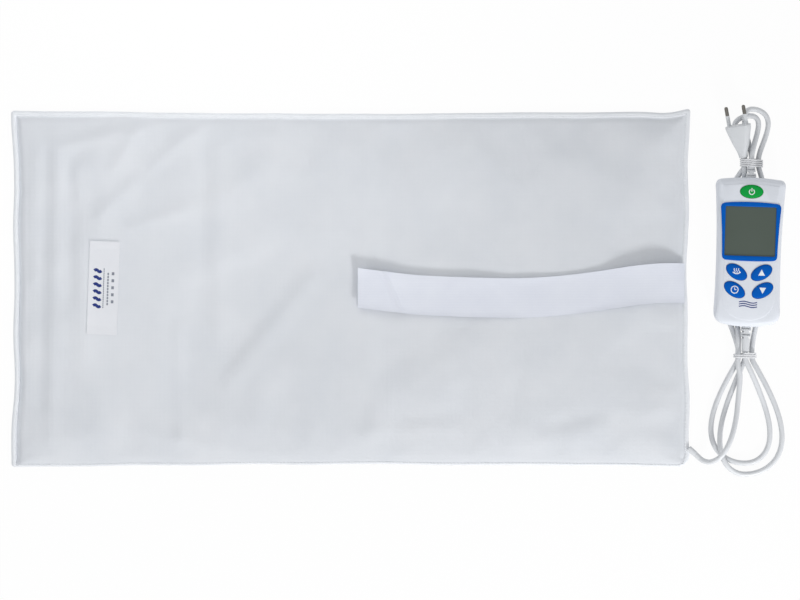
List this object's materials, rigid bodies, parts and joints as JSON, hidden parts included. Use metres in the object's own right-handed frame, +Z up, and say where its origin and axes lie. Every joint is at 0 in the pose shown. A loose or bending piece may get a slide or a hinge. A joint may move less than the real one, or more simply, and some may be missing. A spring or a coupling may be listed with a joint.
{
  "type": "heating pad with controller",
  "caption": "Soft rectangular electric heating pad with an elastic strap, wired to a hand controller with a display and push keys, with a tied mains lead and plug.",
  "frame": {"origin": "middle of the pad's underside, on the table", "axes": "+X along the pad towards the handset, +Y across the pad towards the plug end, +Z up"},
  "size_m": [0.7722, 0.3708, 0.0279],
  "materials": {
    "cover_cotton": "brushed cotton",
    "felt": "needled felt",
    "heating_wire": "insulated",
    "dark_plastic": "moulded",
    "label_tape": "woven tape",
    "strap_webbing": "knitted elastic",
    "case_plastic": "fine moulded satin",
    "blue_plastic": "satin",
    "green_plastic": "satin",
    "display_glass": "clear over a grey display",
    "light_guide": "clear",
    "board": "laminate",
    "capacitor": "dipped",
    "silicone": "moulded",
    "steel": "plated",
    "cord_pvc": "satin pvc",
    "tie_wire": "coated wire"
  },
  "bodies": {
    "pad_and_handset": {"back_cover": "cover_cotton", "lower_felt": "felt", "heating_wire": "heating_wire", "thermal_cutout": "dark_plastic", "upper_felt": "felt", "front_cover": "cover_cotton", "label": "label_tape", "strap": "strap_webbing", "strap_hook_patch": "strap_webbing", "pad_lead_gland": "cord_pvc", "rear_shell": "case_plastic", "front_shell": "case_plastic", "case_screw_1": "steel", "case_screw_2": "steel", "case_screw_3": "steel", "case_screw_4": "steel", "bezel": "blue_plastic", "display_lens": "display_glass", "display_panel": "display_glass", "light_guide": "light_guide", "circuit_board": "board", "relay": "dark_plastic", "capacitor": "capacitor", "mains_terminal": "board", "pad_terminal": "board", "power_dome": "silicone", "heat_dome": "silicone", "up_dome": "silicone", "timer_dome": "silicone", "down_dome": "silicone", "mains_relief": "cord_pvc", "pad_relief": "cord_pvc", "pad_lead_hank": "cord_pvc", "pad_lead_tie": "tie_wire", "pad_lead_tail": "cord_pvc", "mains_lead_hank": "cord_pvc", "mains_lead_tie": "tie_wire", "plug_body": "cord_pvc", "plug_pin_left": "steel", "plug_pin_right": "steel"},
    "power_key": {"power_key": "green_plastic"},
    "heat_key": {"heat_key": "blue_plastic"},
    "up_key": {"up_key": "blue_plastic"},
    "timer_key": {"timer_key": "blue_plastic"},
    "down_key": {"down_key": "blue_plastic"}
  },
  "joints": [
    {"name": "power_press", "type": "slide", "parent": "pad_and_handset", "child": "power_key", "axis": [0, 0, -1], "range_m": [0, 0.0008], "stiffness_N_per_m": 500, "deforming": ["power_dome"]},
    {"name": "heat_press", "type": "slide", "parent": "pad_and_handset", "child": "heat_key", "axis": [0, 0, -1], "range_m": [0, 0.0008], "stiffness_N_per_m": 500, "deforming": ["heat_dome"]},
    {"name": "up_press", "type": "slide", "parent": "pad_and_handset", "child": "up_key", "axis": [0, 0, -1], "range_m": [0, 0.0008], "stiffness_N_per_m": 500, "deforming": ["up_dome"]},
    {"name": "timer_press", "type": "slide", "parent": "pad_and_handset", "child": "timer_key", "axis": [0, 0, -1], "range_m": [0, 0.0008], "stiffness_N_per_m": 500, "deforming": ["timer_dome"]},
    {"name": "down_press", "type": "slide", "parent": "pad_and_handset", "child": "down_key", "axis": [0, 0, -1], "range_m": [0, 0.0008], "stiffness_N_per_m": 500, "deforming": ["down_dome"]}
  ]
}
